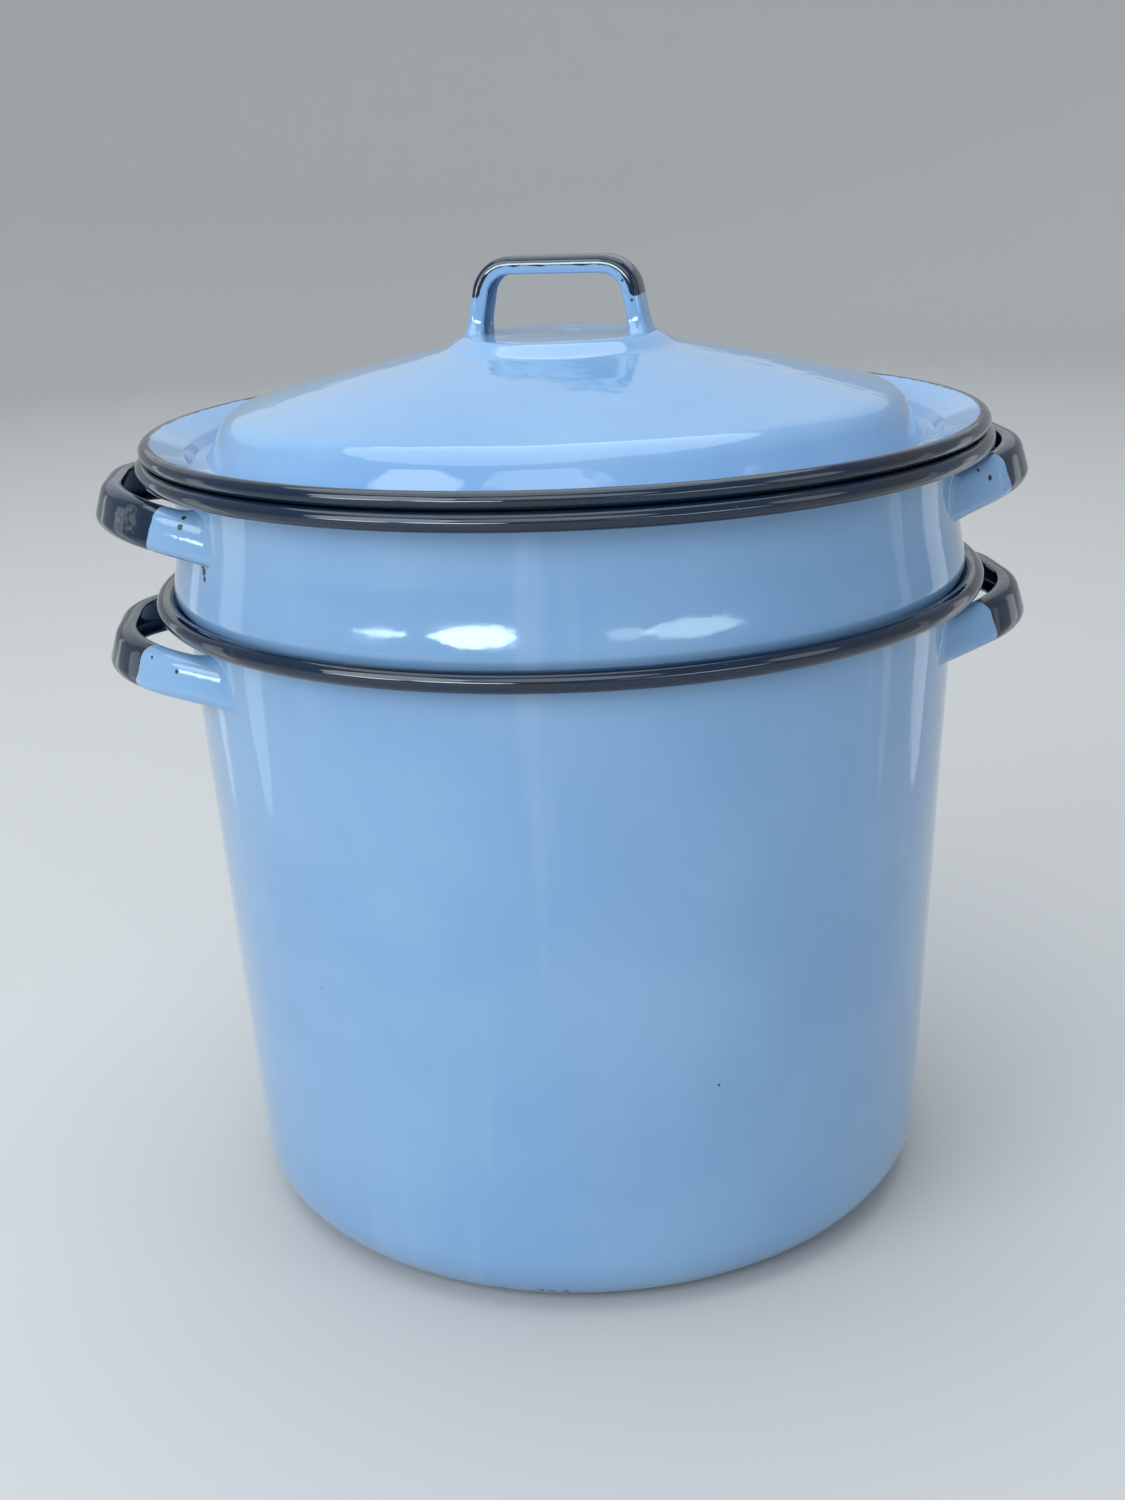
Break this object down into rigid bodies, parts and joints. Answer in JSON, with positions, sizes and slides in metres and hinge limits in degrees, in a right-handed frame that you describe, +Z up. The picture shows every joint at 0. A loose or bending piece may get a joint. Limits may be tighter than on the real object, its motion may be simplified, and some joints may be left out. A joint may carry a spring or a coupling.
{
  "type": "stock pot with steamer insert and lid",
  "caption": "Tapered enamelled steel stock pot with a perforated hanging insert, a domed lid, strap side handles and rolled black rims.",
  "frame": {"origin": "on the table, under the centre of the pot", "axes": "+Z up, +X through the right-hand side handles, -Y towards the viewer"},
  "size_m": [0.3352, 0.3048, 0.3465],
  "materials": {
    "blue_enamel": "gloss vitreous enamel, cornflower blue, black on the rolled rims",
    "black_enamel": "gloss vitreous enamel, black on the grip and blue on the legs",
    "rim_wire_steel": "plain drawn wire, closed inside the rim"
  },
  "bodies": {
    "pot": {"pot_body": "blue_enamel", "pot_rim_wire": "rim_wire_steel", "pot_handle_left": "black_enamel", "pot_handle_right": "black_enamel"},
    "insert": {"insert_body": "blue_enamel", "insert_rim_wire": "rim_wire_steel", "insert_handle_left": "black_enamel", "insert_handle_right": "black_enamel"},
    "lid": {"lid_shell": "blue_enamel", "lid_rim_wire": "rim_wire_steel", "lid_handle": "black_enamel"}
  },
  "joints": [
    {"name": "insert_lift", "type": "slide", "parent": "pot", "child": "insert", "axis": [0, 0, 1], "range_m": [0, 0.15]},
    {"name": "lid_lift", "type": "slide", "parent": "insert", "child": "lid", "axis": [0, 0, 1], "range_m": [0, 0.12]}
  ]
}
